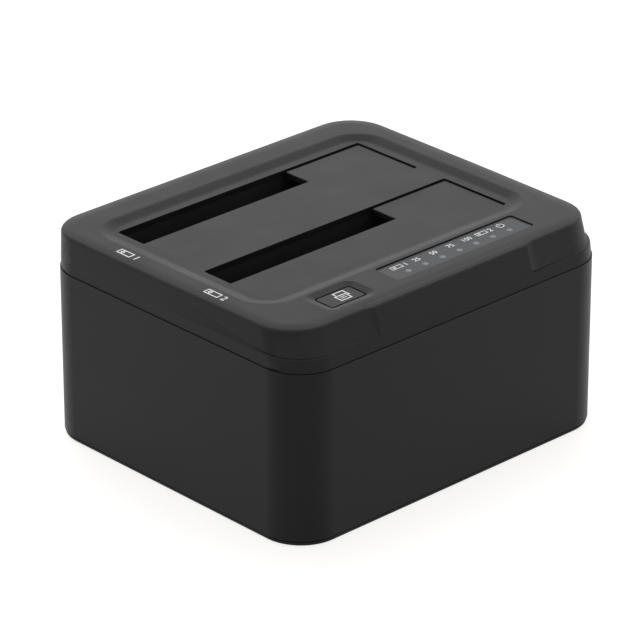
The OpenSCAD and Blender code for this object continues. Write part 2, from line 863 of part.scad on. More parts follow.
// Flap: a plate with a corner left open, on two goose-neck arms with hinge barrels
module flap(i) {
    x = slot_x - flap_gap;
    color(flap_black) translate([0, hinge_y(i), hinge_z]) difference() {
        union() {
            translate([0, 0, flap_dz]) linear_extrude(flap_t) difference() {
                round_rect(-x, x, flap_dy, flap_end_dy, slot_r);
                translate([-x - past, notch_dy]) square([notch_l - slot_x + x + past, slot_d]);
            }
            for (s = [-1, 1]) {
                translate([s * (arm_x + arm_w / 2) - arm_w / 2, 0, 0]) flap_arm();
            }
        }
        cross_bar([-pin_l, 0, 0], bore_r, 2 * pin_l);
    }
}

// Arm below a flap: a barrel round the pin, a neck and a stop that meets the deck
module flap_arm() {
    stop_dy = [barrel_r / 2, hinge_back - flap_gap];
    foot_dz = -0.7 * barrel_r;
    cross_bar([0, 0, 0], barrel_r, arm_w);
    along_x(0, arm_w) {
        polygon([[0, barrel_r], [barrel_r / 2, neck_dz], [flap_dy, neck_dz], [flap_dy, flap_dz + flap_t / 2],
            [arm_tip_dy, flap_dz + flap_t / 2], [arm_tip_dy, flap_dz - arm_tip_t],
            [barrel_r, foot_dz], [0, -barrel_r]]);
        translate([stop_dy[0], 0]) square([stop_dy[1] - stop_dy[0], under_dz - contact]);
    }
}

module flap_pin(i) {
    color(steel) cross_bar([-pin_l / 2, hinge_y(i), hinge_z], pin_r, pin_l);
}

// Middle line of a flap spring: leg below the deck, coil round the pin, leg below the flap
spring_line = concat(
    [[spring_x, leg_deck[0], leg_deck[1]]],
    [for (k = [0 : coil_steps])
        let (turned = coil_sweep * k / coil_steps, a = leave_deck + turned)
            [spring_x + spring_pitch * turned / 360, coil_r * cos(a), coil_r * sin(a)]],
    [[spring_x + coil_l, leg_flap[0], leg_flap[1]]]);
spring_last = len(spring_line) - 1;

// Least gap of the wire to itself, between points at least half a turn apart
spring_gap = min([for (a = [0 : spring_last], b = [0 : spring_last])
    if (b - a > rings_per_turn / 2) norm(spring_line[b] - spring_line[a])]) - wire_d;
echo(spring_gap = spring_gap);

function unit(v) = v / norm(v);
function wire_way(k) = unit(spring_line[min(k + 1, spring_last)] - spring_line[max(k - 1, 0)]);
function wire_ring(k) =
    let (way = wire_way(k), side = unit([1, 0, 0] - way[0] * way), up = cross(way, side))
        [for (s = [0 : wire_sides - 1])
            spring_line[k] + wire_r * (cos(360 * s / wire_sides) * side + sin(360 * s / wire_sides) * up)];

// Torsion spring swept along its middle line in one piece
module flap_spring(i) {
    points = [for (k = [0 : spring_last]) each wire_ring(k)];
    sides = [for (k = [0 : spring_last - 1], s = [0 : wire_sides - 1])
        let (a = k * wire_sides + s, b = k * wire_sides + (s + 1) % wire_sides)
            each [[a, a + wire_sides, b], [b, a + wire_sides, b + wire_sides]]];
    last = spring_last * wire_sides;
    ends = [for (s = [1 : wire_sides - 2]) each [[0, s, s + 1], [last, last + s + 1, last + s]]];
    color(steel) translate([0, hinge_y(i), hinge_z]) polyhedron(points, concat(sides, ends));
}

// Well below one slot, which guides a drive down to its socket
module bay_well(i) {
    x = well_x + well_t;
    y0 = well_front(i);
    y1 = well_back(i);
    hole = socket_d / 2 + swing_gap;
    color(shell_black) difference() {
        block([-x, y0 - well_t, well_z], [x, y1 + well_t, under_z]);
        block([-well_x, y0, well_floor], [well_x, y1, under_z + past]);
        block([-x - past, y0 - well_t - past, front_wall_z], [x + past, y0, under_z + past]);
        block([socket_mid_x - socket_l / 2 - swing_gap, socket_mid_y(i) - hole, well_z - past],
            [socket_mid_x + socket_l / 2 + swing_gap, socket_mid_y(i) + hole, well_floor + past]);
        well_fixings([i]) bar([0, 0, well_z - past], screw_r + fit, well_t + 2 * past);
    }
}

module well_screws() {
    color(steel) well_fixings() translate([0, 0, well_floor]) rotate([180, 0, 0]) screw(well_t + screw_l);
}

// Parts of a drive socket along X, measured from its middle: data slot, then power slot
slot_gap_x = 2.4;
data_l = 11.6;
power_l = 21.8;
data_pins = 7;
power_pins = 15;
key_l = 1.2;
blade_slot = 2.4;
blade_deep = 6;
contact_pitch = 1.27;
contact_w = 0.7;
contact_t = 0.25;
guide_w = 2.6;
guide_h = 2.6;
data_x = -(data_l + slot_gap_x + power_l) / 2;
power_x = data_x + data_l + slot_gap_x;
socket_slots = [[data_x, data_l, data_pins], [power_x, power_l, power_pins]];

module sata_socket(i) {
    z = main_top + socket_h;
    color(chip_black) translate([socket_mid_x, socket_mid_y(i), 0]) difference() {
        union() {
            block([-socket_l / 2, -socket_d / 2, main_top], [socket_l / 2, socket_d / 2, z]);
            for (s = [0, 1]) mirror([s, 0, 0]) socket_guide(z);
        }
        for (part = socket_slots) {
            block([part[0], -blade_slot / 2, z - blade_deep], [part[0] + part[1], blade_slot / 2, z + past]);
            block([part[0], -blade_slot, z - blade_deep], [part[0] + key_l, 0, z + past]);
        }
    }
}

// Tapered guide at the right end of a drive socket
module socket_guide(z) {
    x = socket_l / 2;
    translate([0, socket_d / 2, z])
        rotate([90, 0, 0])
            linear_extrude(socket_d)
                polygon([[x - guide_w, -past], [x, -past], [x, guide_h], [x - guide_w / 3, guide_h],
                    [x - guide_w, 0]]);
}

module sata_contacts(i) {
    z = main_top + socket_h - blade_deep;
    color(gold) translate([socket_mid_x, socket_mid_y(i), 0]) {
        for (part = socket_slots, k = [0 : part[2] - 1]) {
            x = part[0] + key_l + (part[1] - key_l) / 2 + (k - (part[2] - 1) / 2) * contact_pitch;
            block([x - contact_w / 2, blade_slot / 2 - contact_t, z],
                [x + contact_w / 2, blade_slot / 2, z + blade_deep - past]);
        }
    }
}

module main_board() {
    color(board_green) difference() {
        block([-board_x, board_front, main_z], [board_x, board_back, main_top]);
        for (x = [-board_screw_x, board_screw_x], y = board_screws_y) {
            bar([x, y, main_z - past], screw_r + fit, board_t + 2 * past);
        }
        well_fixings() bar([0, 0, main_z - past], post_r + swing_gap, board_t + 2 * past);
    }
}

// Low chips below the wells: each is its middle from a bay's socket line and its size
chips = [[34, -10, 14, 14, 1.2], [8, -12, 5, 4, 1.5], [22, -25, 6.5, 6, 2.3], [46, -20, 6, 6, 2.8]];

module board_chips() {
    color(chip_black) for (c = chips) {
        translate([socket_mid_x + c[0], socket_mid_y(1) + c[1], main_top])
            block([-c[2] / 2, -c[3] / 2, 0], [c[2] / 2, c[3] / 2, c[4]]);
    }
}

can_r = 2.5;
can_h = 7.6;
can_groove = 0.4;
can_foot = 1;
can_line = (well_back(0) + well_t + panel_back) / 2;
can_off = usb_w / 2 + 2 * can_r;

// Round capacitors beside the data socket, each with a pressed groove
module board_capacitors() {
    color(can_silver) for (x = [usb_x - can_off, usb_x + can_off]) {
        translate([x, can_line, main_top])
            rotate_extrude()
                polygon([[0, 0], [can_r, 0], [can_r, can_foot], [can_r - can_groove, can_foot + can_groove],
                    [can_r, can_foot + 2 * can_groove], [can_r, can_h - can_groove],
                    [can_r - can_groove, can_h], [0, can_h]]);
    }
}

module board_screws() {
    color(steel) for (x = [-board_screw_x, board_screw_x], y = board_screws_y) {
        translate([x, y, main_top]) rotate([180, 0, 0]) screw(screw_l);
    }
}

// Opening of the data socket: a square foot with a narrower top
module usb_mouth() {
    foot_w = usb_w / 2 - usb_wall;
    top_w = usb_top_w / 2;
    top_h = usb_h - usb_wall;
    side_h = usb_foot_h - foot_w + top_w;
    polygon([[-foot_w, usb_wall], [foot_w, usb_wall], [foot_w, side_h], [top_w, usb_foot_h],
        [top_w, top_h], [-top_w, top_h], [-top_w, usb_foot_h], [-foot_w, side_h]]);
}

module usb_shell() {
    color(steel) translate([usb_x, connector_in, main_top]) difference() {
        block([-usb_w / 2, 0, 0], [usb_w / 2, connector_l, usb_h]);
        translate([0, connector_l + past, 0])
            rotate([90, 0, 0])
                linear_extrude(connector_l + past - usb_floor)
                    usb_mouth();
    }
}

// Tongues that stand inside the data socket: each is its width, its height and its thickness
module usb_tongue() {
    tongues = [[5.6, 3, 2.6], [4.6, 9.2, 1.2]];
    color(chip_black) translate([usb_x, connector_in + usb_floor, main_top]) for (t = tongues) {
        block([-t[0] / 2, 0, t[1]], [t[0] / 2, connector_l - usb_floor - past, t[1] + t[2]]);
    }
}

module dc_jack() {
    mid_z = main_top + jack_h / 2;
    color(chip_black) difference() {
        union() {
            block([jack_x - jack_w / 2, connector_in, main_top],
                [jack_x + jack_w / 2, panel_back - contact, main_top + jack_h]);
            deep_bar([jack_x, connector_y - jack_step - wall, mid_z], jack_r, jack_step + wall);
        }
        deep_bar([jack_x, connector_y - jack_bore_l, mid_z], jack_bore, jack_bore_l + past);
    }
}

module dc_pin() {
    color(steel) deep_bar([jack_x, connector_y - jack_bore_l, main_top + jack_h / 2], jack_pin_r, jack_pin_l);
}

// Pivot of the power rocker
rocker_at = [switch_x, connector_y - rocker_pivot_in, main_top + switch_h / 2];

module power_switch() {
    room_x = rocker_l / 2 + rocker_side;
    room_z = rocker_h / 2 + fit;
    color(chip_black) difference() {
        block([switch_x - switch_w / 2, connector_in, main_top],
            [switch_x + switch_w / 2, connector_y, main_top + switch_h]);
        block(rocker_at - [room_x, rocker_room, room_z], rocker_at + [room_x, wall + past, room_z]);
        bar(rocker_at - [0, 0, rocker_h / 2 + trunnion_l + fit], trunnion_r + pin_play,
            rocker_h + 2 * (trunnion_l + fit));
    }
}

// Rocker with a shallow V face, drawn level and then tilted to its off side
module power_rocker() {
    l = rocker_l / 2;
    rise = l * tan(rocker_tilt);
    color(shell_black) translate(rocker_at) rotate(-rocker_tilt) {
        translate([0, 0, -rocker_h / 2])
            linear_extrude(rocker_h)
                polygon([[0, rocker_crown], [-l, rocker_crown + rise], [-l, -rocker_flank],
                    [-rocker_foot, -rocker_back], [rocker_foot, -rocker_back], [l, -rocker_flank],
                    [l, rocker_crown + rise]]);
        bar([0, 0, -rocker_h / 2 - trunnion_l], trunnion_r, rocker_h + 2 * trunnion_l);
    }
}

module rubber_feet() {
    color(rubber_black) four(foot_x, foot_y) cylinder(r = foot_r, h = foot_out + foot_seat);
}

module base_screws() {
    color(steel) four(column_x, column_y) {
        translate([0, 0, base_z + screw_head_h + contact]) screw(column_h - 4 * past);
    }
}

// Flat cable from the indicator board down to the main board, in a slow bow
function ribbon_place(t) = ribbon_bow * sin(180 * t) * sin(180 * t);
ribbon_low = main_top + header_h;
ribbon_high = led_board_z - header_h;

module ribbon_cable() {
    steps = [for (k = [0 : ribbon_steps]) k / ribbon_steps];
    up = [for (t = steps) [ribbon_place(t), ribbon_low + t * (ribbon_high - ribbon_low)]];
    down = [for (k = [ribbon_steps : -1 : 0]) up[k] - [ribbon_t, 0]];
    color(ribbon_white) translate([0, ribbon_y, 0])
        along_x(-ribbon_w / 2, ribbon_w)
            polygon(concat(up, down));
}

module ribbon_headers() {
    x = ribbon_w / 2 + header_side;
    color(chip_black) for (z = [main_top, led_board_z - header_h]) {
        block([-x, ribbon_y - header_d / 2, z], [x, ribbon_y + header_d / 2, z + header_h]);
    }
}

lower_housing();
base_plate();
top_cover();
led_window();
light_pipes();
clone_button();
tact_plunger();
tact_switch();
indicator_board();
indicator_leds();
indicator_screws();
flap(0);  // flap_1
flap(1);  // flap_2
flap_pin(0);  // flap_pin_1
flap_pin(1);  // flap_pin_2
flap_spring(0);  // flap_spring_1
flap_spring(1);  // flap_spring_2
bay_well(0);  // bay_well_1
bay_well(1);  // bay_well_2
well_screws();
sata_socket(0);  // sata_socket_1
sata_socket(1);  // sata_socket_2
sata_contacts(0);  // sata_contacts_1
sata_contacts(1);  // sata_contacts_2
main_board();
board_chips();
board_capacitors();
board_screws();
usb_shell();
usb_tongue();
dc_jack();
dc_pin();
power_switch();
power_rocker();
rubber_feet();
base_screws();
ribbon_cable();
ribbon_headers();
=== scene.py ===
"""Looks of a docking station for two bare drives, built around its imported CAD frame."""

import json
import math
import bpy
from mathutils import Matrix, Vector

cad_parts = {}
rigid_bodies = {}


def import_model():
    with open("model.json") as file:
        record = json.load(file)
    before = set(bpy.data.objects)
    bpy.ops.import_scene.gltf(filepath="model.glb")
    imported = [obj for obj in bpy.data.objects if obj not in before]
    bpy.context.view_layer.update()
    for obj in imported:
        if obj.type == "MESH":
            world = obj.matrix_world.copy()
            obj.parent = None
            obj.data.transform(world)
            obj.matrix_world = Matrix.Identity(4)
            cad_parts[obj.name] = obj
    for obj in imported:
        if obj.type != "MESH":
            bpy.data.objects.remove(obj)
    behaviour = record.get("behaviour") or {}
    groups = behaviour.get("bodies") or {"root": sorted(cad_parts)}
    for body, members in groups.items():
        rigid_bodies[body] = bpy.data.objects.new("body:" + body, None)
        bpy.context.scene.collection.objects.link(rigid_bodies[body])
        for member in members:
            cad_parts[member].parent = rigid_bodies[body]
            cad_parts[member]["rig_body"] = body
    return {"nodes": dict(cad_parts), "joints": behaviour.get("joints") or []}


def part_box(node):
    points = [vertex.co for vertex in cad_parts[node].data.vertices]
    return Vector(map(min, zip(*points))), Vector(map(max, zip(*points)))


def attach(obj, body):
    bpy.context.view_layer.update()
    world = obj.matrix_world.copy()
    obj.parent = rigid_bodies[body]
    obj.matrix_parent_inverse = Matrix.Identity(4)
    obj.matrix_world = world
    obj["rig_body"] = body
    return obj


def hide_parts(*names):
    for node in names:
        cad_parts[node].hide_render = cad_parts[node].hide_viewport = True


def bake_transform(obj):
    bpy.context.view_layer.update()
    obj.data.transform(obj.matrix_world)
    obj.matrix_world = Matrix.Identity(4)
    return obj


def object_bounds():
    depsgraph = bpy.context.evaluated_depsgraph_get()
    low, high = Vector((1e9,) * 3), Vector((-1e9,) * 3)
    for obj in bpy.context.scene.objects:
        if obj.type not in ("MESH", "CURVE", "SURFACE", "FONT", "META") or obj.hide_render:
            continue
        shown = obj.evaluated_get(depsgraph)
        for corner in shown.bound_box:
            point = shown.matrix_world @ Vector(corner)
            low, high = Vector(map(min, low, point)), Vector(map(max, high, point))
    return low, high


bl_info = {
    "name": "Drive Dock Looks",
    "version": (1, 0, 0),
    "blender": (4, 5, 0),
    "location": "View3D > Sidebar > Drive Dock",
    "description": "Rounds, finishes and marks a two-bay drive dock and sets its studio",
    "category": "Object",
}

import bmesh
import bpy
from bpy.props import FloatProperty, FloatVectorProperty, IntProperty, PointerProperty
from mathutils import Vector
from mathutils.bvhtree import BVHTree

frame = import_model()
CAD_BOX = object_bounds()

HOUSING = "housing"
PRESS_KEY = "clone_button"
BAYS = (1, 2)

MM = 0.001
# Heights that differ by less than this count as one height
NEAR = 0.02 * MM
# Faces of the CAD mesh narrower than this are welded shut before edges are rounded
SLIVER = 0.02 * MM
# Depth in which an edge still counts as lying on an outer face
SKIN = 0.1 * MM
FLAT_ANGLE = math.radians(0.05)
SHARP_ANGLE = math.radians(40)

# Profiles of a rounded and of a cut-in edge
ROUND = 0.5
NOTCH = 0.0

# Angles, in degrees, between the faces that meet along an edge
SQUARE = (60, 120)
FITTING = (35, 120)
WELL = (35, 150)
TRAY_SLOPE = (15, 22)
DISH_SLOPE = (8, 14)
NOSE_END = (6, 35)

# Range that holds most values of a noise texture
NOISE_LOW, NOISE_HIGH = 0.3, 0.7
# Phase of the wave texture, in radians, along one unit of its scale
WAVE_PHASE = 20

# Least part of the line width that a corner of an ink line is mitred by
MITRE_LIMIT = 0.3
COIL_STEPS = 24
WIRE_SIDES = 10
SENSOR_W = 36.0
VIEW_DEPTH = 100.0


def millimetres(name, value, description):
    """Length property with its default written in millimetres."""
    return FloatProperty(name=name, description=description, default=value * MM, min=0.0,
                         precision=5, unit="LENGTH")


def share(name, value, description):
    """Property for a part of one, such as a roughness."""
    return FloatProperty(name=name, description=description, default=value, min=0.0, max=1.0,
                         subtype="FACTOR")


def tint(name, value, description):
    """Colour property in linear values."""
    return FloatVectorProperty(name=name, description=description, default=value, size=3, min=0.0,
                               max=1.0, subtype="COLOR")


class DockEdges(bpy.types.PropertyGroup):
    """Roundings of the moulded and pressed pieces"""

    wall: millimetres("Wall edge", 0.3, "Rounding of the rear panel, the wells and the feet")
    foot: millimetres("Foot edge", 0.6, "Rounding of the base plate's lower edge")
    gap: millimetres("Foot gap", 0.5, "Height of the shadow gap above the base plate")
    tray: millimetres("Tray edge", 0.7, "Rounding along the slope round the sunken tray")
    dish: millimetres("Dish edge", 0.6, "Rounding along the shallow dish round the button")
    slot: millimetres("Slot edge", 0.35, "Rounding of the slots' upper edges")
    nose: millimetres("Nose edge", 1.9, "Rounding of the upright edges at the nose's ends")
    opening: millimetres("Opening edge", 0.14, "Rounding of the window's and the button's openings")
    flap: millimetres("Flap edge", 0.35, "Rounding of a flap's upper edges")
    key: millimetres("Key edge", 0.3, "Rounding of the button's edges")
    fine: millimetres("Fine edge", 0.12, "Rounding of small fittings")
    steps: IntProperty(name="Steps", description="Faces across a rounding", default=3, min=1, max=6)


class DockFinish(bpy.types.PropertyGroup):
    """Colours and surface values of the materials"""

    shell: tint("Shell", (0.0080, 0.0080, 0.0083), "Black of the housing and the cover")
    flap: tint("Flap", (0.0088, 0.0088, 0.0092), "Black of the flaps and the button")
    # Painted light: the wells are of the shell's black plastic, and this lighter black stands in
    # for light reaching the insides of the slots
    well: tint("Well", (0.024, 0.025, 0.024), "Black of the wells below the slots")
    window: tint("Window", (0.027, 0.029, 0.033), "Grey of the indicator window")
    light: tint("Light", (0.12, 0.124, 0.13), "Grey of the unlit lights")
    ink: tint("Ink", (0.80, 0.80, 0.79), "Pale grey of the printed marks")
    rubber: tint("Rubber", (0.008, 0.008, 0.008), "Black of the feet")
    board: tint("Board", (0.012, 0.085, 0.040), "Green of the circuit boards")
    gold: tint("Contacts", (0.75, 0.52, 0.18), "Plating of the contacts")
    steel: tint("Steel", (0.55, 0.56, 0.57), "Metal of the pins, screws and the socket shell")
    tin: tint("Cans", (0.60, 0.61, 0.62), "Metal of the capacitors and the small switch")
    ribbon: tint("Ribbon", (0.50, 0.50, 0.46), "Grey of the flat cable")
    grain: millimetres("Grain", 0.35, "Size of the moulded grain")
    grain_rough: share("Roughness", 0.42, "Roughness of the moulded plastic")
    gloss: share("Gloss", 0.16, "Specular level of the moulded plastic")


class DockMarks(bpy.types.PropertyGroup):
    """Sizes and places of the printed marks"""

    ink_t: millimetres("Ink", 0.05, "Thickness of the ink, half of it sunk in the plastic")
    facet: millimetres("Facet", 0.5, "Longest straight piece of ink on a curved face")
    stroke: millimetres("Stroke", 0.42, "Line width of the pictograms")
    bold: share("Bold", 0.008, "Widening of the figures' strokes, as a part of their size")
    rim_digit: millimetres("Rim digit", 2.7, "Height of the bay numbers on the rim")
    rim_x: millimetres("Rim inset", 5.3, "Distance of the bay numbers from the cover's left side")
    light_w: millimetres("Light width", 3.2, "Width of one light on the board below the window")
    strip_digit: millimetres("Strip digit", 2.0, "Height of the numbers on the window")
    strip_y: millimetres("Strip row", 4.1, "Distance of the numbers from the row of lights")
    strip_stroke: millimetres("Strip stroke", 0.28, "Line width of the pictograms on the window")
    power_r: millimetres("Power sign", 1.25, "Radius of the power sign on the window")
    sheet_mid: FloatVectorProperty(
        name="Sheets", description="Middle of the button's pictogram, from the button's middle",
        default=(1.0 * MM, 0.4 * MM), size=2, unit="LENGTH")
    sheet_w: millimetres("Sheet width", 4.1, "Width of a sheet in the button's pictogram")
    sheet_d: millimetres("Sheet depth", 3.1, "Depth of a sheet in the button's pictogram")
    sheet_x: millimetres("Sheet shift", 0.8, "Offset of the back sheet to the right")
    sheet_y: millimetres("Sheet step", 2.0, "Offset of the back sheet behind the front one")


class DockStage(bpy.types.PropertyGroup):
    """Camera, floor and lamp"""

    azimuth: FloatProperty(name="Azimuth", description="Turn of the camera from the front view",
                           default=math.radians(-43.408), subtype="ANGLE")
    elevation: FloatProperty(name="Elevation", description="Height angle of the camera",
                             default=math.radians(25.453), subtype="ANGLE")
    distance: millimetres("Distance", 1338.0, "Distance of the camera from the aim")
    aim_y: millimetres("Aim depth", 2.0, "Place of the aim behind the middle")
    aim_z: millimetres("Aim height", 36.0, "Height of the aim")
    lens: FloatProperty(name="Lens", description="Focal length of the camera", default=236.9,
                        unit="CAMERA")
    shift: FloatProperty(name="Shift", description="Sideways shift of the picture",
                         default=-0.0039)
    floor_w: millimetres("Floor width", 8000.0, "Width of the floor")
    floor: tint("Floor", (0.42, 0.417, 0.411), "Colour of the floor, which takes the shadow")
    glow: tint("Glow", (1.0, 0.992, 0.98), "Colour of the floor's glow in direct looks")
    glow_level: share("Glow level", 0.80, "Strength of the floor's glow in direct looks")
    fill: share("Fill", 0.5, "Strength of the surroundings as light")
    backdrop: FloatProperty(name="Backdrop", default=1.6,
                            description="Strength of the surroundings in direct looks")
    key_power: FloatProperty(name="Key power", description="Power of the soft lamp above",
                             default=9.0, unit="POWER")
    key_w: millimetres("Key width", 900.0, "Width of the soft lamp above")
    key_x: millimetres("Key side", 330.0, "Place of the soft lamp to the right")
    key_y: millimetres("Key depth", 430.0, "Place of the soft lamp behind the dock")
    key_z: millimetres("Key height", 1050.0, "Height of the soft lamp")


# Materials


def finish_name(slot):
    """Name of the material that gives a slot of the record its look."""
    return f"dock_{slot}"


def blank_material(slot):
    """Nodes, links and shader of a new material for a slot."""
    made = bpy.data.materials.new(finish_name(slot))
    made.use_nodes = True
    tree = made.node_tree
    return tree.nodes, tree.links, tree.nodes["Principled BSDF"]


def opaque(colour, level=1.0):
    """Colour at a level, with full cover, as sockets and ramps take it."""
    return [min(1.0, part * level) for part in colour] + [1.0]


def noise(nodes, links, size, detail, seed):
    """Noise over the object's own coordinates, with features of about the given size."""
    place = nodes.new("ShaderNodeTexCoord")
    field = nodes.new("ShaderNodeTexNoise")
    field.noise_dimensions = "4D"
    field.inputs["W"].default_value = seed
    field.inputs["Scale"].default_value = 1.0 / size
    field.inputs["Detail"].default_value = detail
    links.new(place.outputs["Object"], field.inputs["Vector"])
    return field.outputs["Fac"]


def spread(nodes, links, source, middle, change, target):
    """Feeds a socket with a value that the source moves to either side of the middle."""
    ranged = nodes.new("ShaderNodeMapRange")
    ranged.inputs["From Min"].default_value = NOISE_LOW
    ranged.inputs["From Max"].default_value = NOISE_HIGH
    ranged.inputs["To Min"].default_value = middle - change
    ranged.inputs["To Max"].default_value = middle + change
    links.new(source, ranged.inputs["Value"])
    links.new(ranged.outputs["Result"], target)


def mottle(nodes, links, source, colour, change, target):
    """Feeds a colour socket with the colour, made a little lighter and darker by the source."""
    ramp = nodes.new("ShaderNodeValToRGB")
    dark, pale = ramp.color_ramp.elements
    dark.position, pale.position = NOISE_LOW, NOISE_HIGH
    dark.color = opaque(colour, 1.0 - change)
    pale.color = opaque(colour, 1.0 + change)
    links.new(source, ramp.inputs["Fac"])
    links.new(ramp.outputs["Color"], target)


def grain_bump(nodes, links, source, height, strength, target):
    """Feeds a normal socket with a fine relief of the given height."""
    bump = nodes.new("ShaderNodeBump")
    bump.inputs["Strength"].default_value = strength
    bump.inputs["Distance"].default_value = height
    links.new(source, bump.inputs["Height"])
    links.new(bump.outputs["Normal"], target)


def moulded(name, colour, rough, gloss, grain, relief, seed):
    """Moulded plastic with a fine spark-eroded grain and slow changes of sheen."""
    nodes, links, shader = blank_material(name)
    fine = noise(nodes, links, size=grain, detail=2.0, seed=seed)
    slow = noise(nodes, links, size=40 * grain, detail=3.0, seed=seed + 3.0)
    mottle(nodes, links, slow, colour, change=0.10, target=shader.inputs["Base Color"])
    spread(nodes, links, slow, rough, change=0.03, target=shader.inputs["Roughness"])
    grain_bump(nodes, links, fine, height=0.02 * MM, strength=relief,
               target=shader.inputs["Normal"])
    shader.inputs["Specular IOR Level"].default_value = gloss


def metal(name, colour, rough, streak, seed):
    """Metal with fine unevenness in its sheen."""
    nodes, links, shader = blank_material(name)
    fine = noise(nodes, links, size=streak, detail=4.0, seed=seed)
    mottle(nodes, links, fine, colour, change=0.08, target=shader.inputs["Base Color"])
    spread(nodes, links, fine, rough, change=0.06, target=shader.inputs["Roughness"])
    grain_bump(nodes, links, fine, height=0.01 * MM, strength=0.2, target=shader.inputs["Normal"])
    shader.inputs["Metallic"].default_value = 1.0


def lacquered_board(name, colour):
    """Circuit board: lacquer over a pattern of slightly raised tracks."""
    nodes, links, shader = blank_material(name)
    place = nodes.new("ShaderNodeTexCoord")
    tracks = nodes.new("ShaderNodeTexBrick")
    tracks.inputs["Scale"].default_value = 1.0
    tracks.inputs["Brick Width"].default_value = 6.0 * MM
    tracks.inputs["Row Height"].default_value = 1.1 * MM
    tracks.inputs["Mortar Size"].default_value = 0.16 * MM
    for socket, level in (("Color1", 1.25), ("Color2", 1.05), ("Mortar", 0.7)):
        tracks.inputs[socket].default_value = opaque(colour, level)
    links.new(place.outputs["Object"], tracks.inputs["Vector"])
    links.new(tracks.outputs["Color"], shader.inputs["Base Color"])
    grain_bump(nodes, links, tracks.outputs["Fac"], height=0.03 * MM, strength=0.5,
               target=shader.inputs["Normal"])
    shader.inputs["Roughness"].default_value = 0.32


def ribbed_ribbon(name, colour):
    """Flat cable: parallel wires under one skin, with painted shade in the grooves between them and
    a painted highlight on their ridges.
    """
    nodes, links, shader = blank_material(name)
    wire = 0.16 * MM
    place = nodes.new("ShaderNodeTexCoord")
    wires = nodes.new("ShaderNodeTexWave")
    wires.bands_direction = "X"
    wires.inputs["Scale"].default_value = 1.0 / (WAVE_PHASE * wire)
    links.new(place.outputs["Object"], wires.inputs["Vector"])
    # Painted shade and highlight: the colour follows the wires' relief, darker in the grooves and
    # lighter on the ridges
    mottle(nodes, links, wires.outputs["Fac"], colour, change=0.12,
           target=shader.inputs["Base Color"])
    grain_bump(nodes, links, wires.outputs["Fac"], height=0.1 * MM, strength=0.6,
               target=shader.inputs["Normal"])
    shader.inputs["Roughness"].default_value = 0.5


# Mesh helpers


def add_piece(name, bm, body, slot, material=None):
    """New piece from a mesh in progress, in its slot's material or in one that is named."""
    mesh = bpy.data.meshes.new(name)
    bm.to_mesh(mesh)
    bm.free()
    piece = bpy.data.objects.new(name, mesh)
    bpy.context.scene.collection.objects.link(piece)
    mesh.materials.append(bpy.data.materials[finish_name(material or slot)])
    if body:
        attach(piece, body)
    return piece


def even_shading(piece):
    """Smooth shading in which wide faces stay flat and sharp edges stay sharp."""
    for face in piece.data.polygons:
        face.use_smooth = True
    piece.data.set_sharp_from_angle(angle=SHARP_ANGLE)
    normals = piece.modifiers.new("even_shading", "WEIGHTED_NORMAL")
    normals.weight = 80
    normals.keep_sharp = True


def edge_mid(edge):
    """Middle of an edge."""
    return (edge.verts[0].co + edge.verts[1].co) / 2


def is_level(edge):
    """Whether both ends of an edge are at one height."""
    return abs(edge.verts[0].co.z - edge.verts[1].co.z) < NEAR


def rims_body(edge):
    """Whether a level edge runs round the outside of the body."""
    rim_w = 5 * MM
    outward = 0.4
    mid = edge_mid(edge)
    low, high = CAD_BOX
    inside = min(mid.x - low[0], high[0] - mid.x, mid.y - low[1], high[1] - mid.y)
    way = Vector((mid.x, mid.y, 0)).normalized()
    faces_out = any(face.normal.dot(way) > outward for face in edge.link_faces)
    return is_level(edge) and inside < rim_w and faces_out


def turned(limits, test=None):
    """Rule that picks edges whose faces meet at an angle between two limits, in degrees."""
    low, high = map(math.radians, limits)

    def pick(edge):
        if len(edge.link_faces) != 2:
            return False
        return low < edge.calc_face_angle() < high and (test is None or test(edge))

    return pick


def soft_copy(node, name, slot, rules, material=None):
    """Piece that stands for a CAD node: its mesh, with the edges that each rule picks rounded.

    A rule holds the test for an edge, the width and, where it isn't round, the profile.
    """
    steps = bpy.context.scene.dock_edges.steps
    source = frame["nodes"][node]
    bm = bmesh.new()
    bm.from_mesh(source.data)
    bmesh.ops.remove_doubles(bm, verts=bm.verts, dist=SLIVER)
    bmesh.ops.dissolve_degenerate(bm, dist=SLIVER, edges=bm.edges)
    bmesh.ops.dissolve_limit(bm, angle_limit=FLAT_ANGLE, verts=bm.verts, edges=bm.edges)
    for pick, width, *profile in rules:
        picked = [edge for edge in bm.edges if pick(edge)]
        if picked:
            bmesh.ops.bevel(bm, geom=picked, offset=width, offset_type="OFFSET", segments=steps,
                            profile=profile[0] if profile else ROUND, affect="EDGES",
                            clamp_overlap=True)
    piece = add_piece(name, bm, source["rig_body"], slot, material)
    even_shading(piece)
    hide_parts(node)


def dress(node, slot):
    """Gives a CAD node its finish."""
    for holder in frame["nodes"][node].material_slots:
        holder.material = bpy.data.materials[finish_name(slot)]


def stroke(bm, points, width, thick, closed=False):
    """Adds a line of ink along points in a level plane, with sharp corners."""
    points = [Vector(point) for point in points]
    count = len(points)
    rows = []
    for k, point in enumerate(points):
        ways = []
        if closed or k:
            ways.append((point - points[k - 1]).normalized())
        if closed or k < count - 1:
            ways.append((points[(k + 1) % count] - point).normalized())
        way = sum(ways, Vector((0, 0))).normalized()
        side = Vector((-way.y, way.x)) * width / 2 / max(MITRE_LIMIT, way.dot(ways[0]))
        rows.append([bm.verts.new((*flat, z)) for flat, z in (
            (point + side, thick / 2), (point - side, thick / 2),
            (point - side, -thick / 2), (point + side, -thick / 2))])
    for k in range(count if closed else count - 1):
        here, there = rows[k], rows[(k + 1) % count]
        for s in range(4):
            bm.faces.new((here[s], here[(s + 1) % 4], there[(s + 1) % 4], there[s]))
    if not closed:
        bm.faces.new(reversed(rows[0]))
        bm.faces.new(rows[-1])


